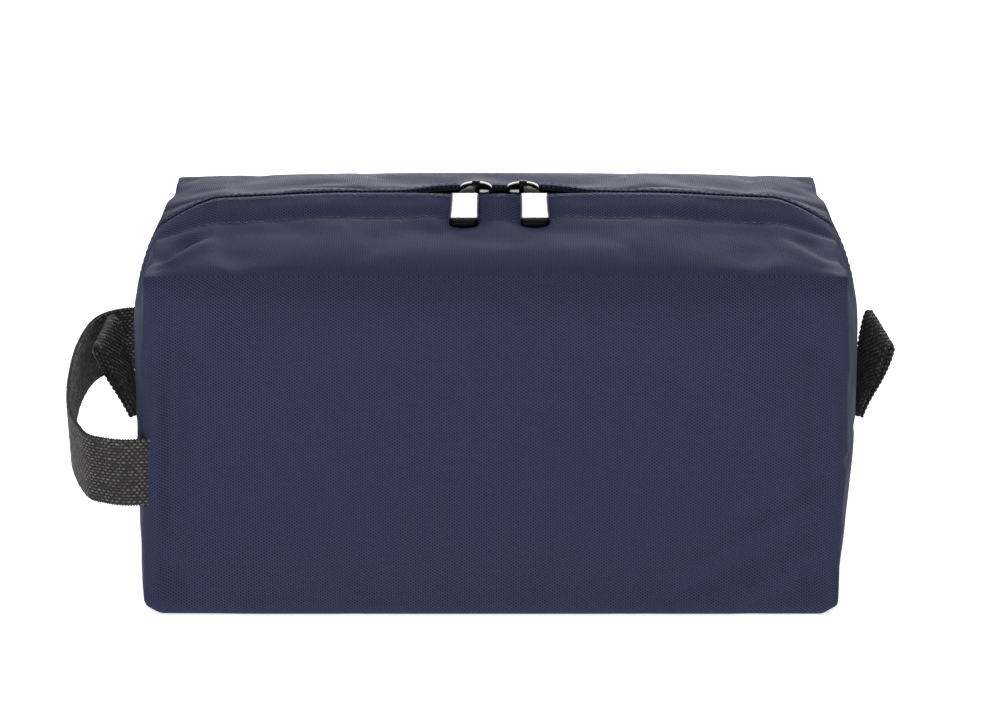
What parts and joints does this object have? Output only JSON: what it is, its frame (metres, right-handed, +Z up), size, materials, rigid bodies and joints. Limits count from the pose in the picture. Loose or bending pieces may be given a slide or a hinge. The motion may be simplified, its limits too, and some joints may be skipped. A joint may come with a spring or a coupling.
{
  "type": "shaving kit bag",
  "caption": "Boxy fabric wash bag with a two-way top zip, a webbing side handle and folded webbing end tabs.",
  "frame": {"origin": "middle of the base, on the surface the bag stands on", "axes": "+Z up, front wall towards -Y, handle loop at the -X end, zip along X"},
  "size_m": [0.3027, 0.136, 0.1427],
  "materials": {
    "outer_fabric": "coated woven polyester, slight sheen",
    "lining": "smooth taffeta",
    "binding": "woven tape",
    "zip_tape": "woven zip tape",
    "zip_coil": "nylon coil",
    "slider_enamel": "gloss black enamel",
    "pull_core": "moulded black plastic",
    "pull_sleeve": "satin silver",
    "webbing": "coarse woven webbing"
  },
  "bodies": {
    "shell": {"front_panel": "outer_fabric", "back_panel": "outer_fabric", "base_panel": "outer_fabric", "left_end_panel": "outer_fabric", "right_end_panel": "outer_fabric", "left_front_corner": "outer_fabric", "left_back_corner": "outer_fabric", "right_front_corner": "outer_fabric", "right_back_corner": "outer_fabric", "front_lining": "lining", "back_lining": "lining", "base_lining": "lining", "left_end_lining": "lining", "right_end_lining": "lining", "left_front_corner_lining": "lining", "left_back_corner_lining": "lining", "right_front_corner_lining": "lining", "right_back_corner_lining": "lining", "left_front_binding": "binding", "left_back_binding": "binding", "right_front_binding": "binding", "right_back_binding": "binding", "left_end_binding": "binding", "right_end_binding": "binding", "left_end_zip_tape": "zip_tape", "right_end_zip_tape": "zip_tape", "left_end_zip_coil": "zip_coil", "right_end_zip_coil": "zip_coil", "handle_front_tail": "webbing", "handle_back_tail": "webbing"},
    "front_flap": {"front_top_panel": "outer_fabric", "front_top_lining": "lining", "front_zip_tape": "zip_tape", "front_zip_coil": "zip_coil"},
    "back_flap": {"back_top_panel": "outer_fabric", "back_top_lining": "lining", "back_zip_tape": "zip_tape", "back_zip_coil": "zip_coil"},
    "left_slider": {"left_slider_body": "slider_enamel", "left_slider_bridge": "slider_enamel"},
    "right_slider": {"right_slider_body": "slider_enamel", "right_slider_bridge": "slider_enamel"},
    "left_pull": {"left_pull_core": "pull_core", "left_pull_sleeve": "pull_sleeve"},
    "right_pull": {"right_pull_core": "pull_core", "right_pull_sleeve": "pull_sleeve"},
    "handle": {"handle_strap": "webbing"},
    "left_tab": {"left_tab": "webbing"},
    "right_tab": {"right_tab": "webbing"}
  },
  "joints": [
    {"name": "left_slider_slide", "type": "slide", "parent": "shell", "child": "left_slider", "axis": [-1, 0, 0], "range_m": [0, 0.0815]},
    {"name": "right_slider_slide", "type": "slide", "parent": "shell", "child": "right_slider", "axis": [1, 0, 0], "range_m": [0, 0.0816]},
    {"name": "front_flap_fold", "type": "hinge", "parent": "shell", "child": "front_flap", "pos_m": [0, -0.063, 0.125], "axis": [-1, 0, 0], "range_deg": [0, 80.1], "deforming": ["front_zip_tape", "front_zip_coil"]},
    {"name": "back_flap_fold", "type": "hinge", "parent": "shell", "child": "back_flap", "pos_m": [0, 0.063, 0.125], "axis": [1, 0, 0], "range_deg": [0, 80.1], "deforming": ["back_zip_tape", "back_zip_coil"]},
    {"name": "left_pull_swing", "type": "hinge", "parent": "left_slider", "child": "left_pull", "pos_m": [-0.0085, 0, 0.141], "axis": [-1, 0, 0], "range_deg": [0, 165]},
    {"name": "right_pull_swing", "type": "hinge", "parent": "right_slider", "child": "right_pull", "pos_m": [0.0085, 0, 0.141], "axis": [-1, 0, 0], "range_deg": [0, 165]},
    {"name": "handle_swing", "type": "hinge", "parent": "shell", "child": "handle", "pos_m": [-0.1255, 0, 0.0535], "axis": [0, -1, 0], "range_deg": [-10, 45], "stiffness_Nm_per_rad": 0.06},
    {"name": "left_tab_swing", "type": "hinge", "parent": "shell", "child": "left_tab", "pos_m": [-0.13385, 0, 0.058], "axis": [0, -1, 0], "range_deg": [-18, 20], "stiffness_Nm_per_rad": 0.02},
    {"name": "right_tab_swing", "type": "hinge", "parent": "shell", "child": "right_tab", "pos_m": [0.13385, 0, 0.058], "axis": [0, 1, 0], "range_deg": [-6, 60], "stiffness_Nm_per_rad": 0.02}
  ],
  "couplings": [
    {"joint": "right_slider_slide", "follows": "left_slider_slide", "ratio": 1},
    {"joint": "front_flap_fold", "follows": "left_slider_slide", "rad_per_m": 17.132},
    {"joint": "back_flap_fold", "follows": "left_slider_slide", "rad_per_m": 17.132}
  ]
}
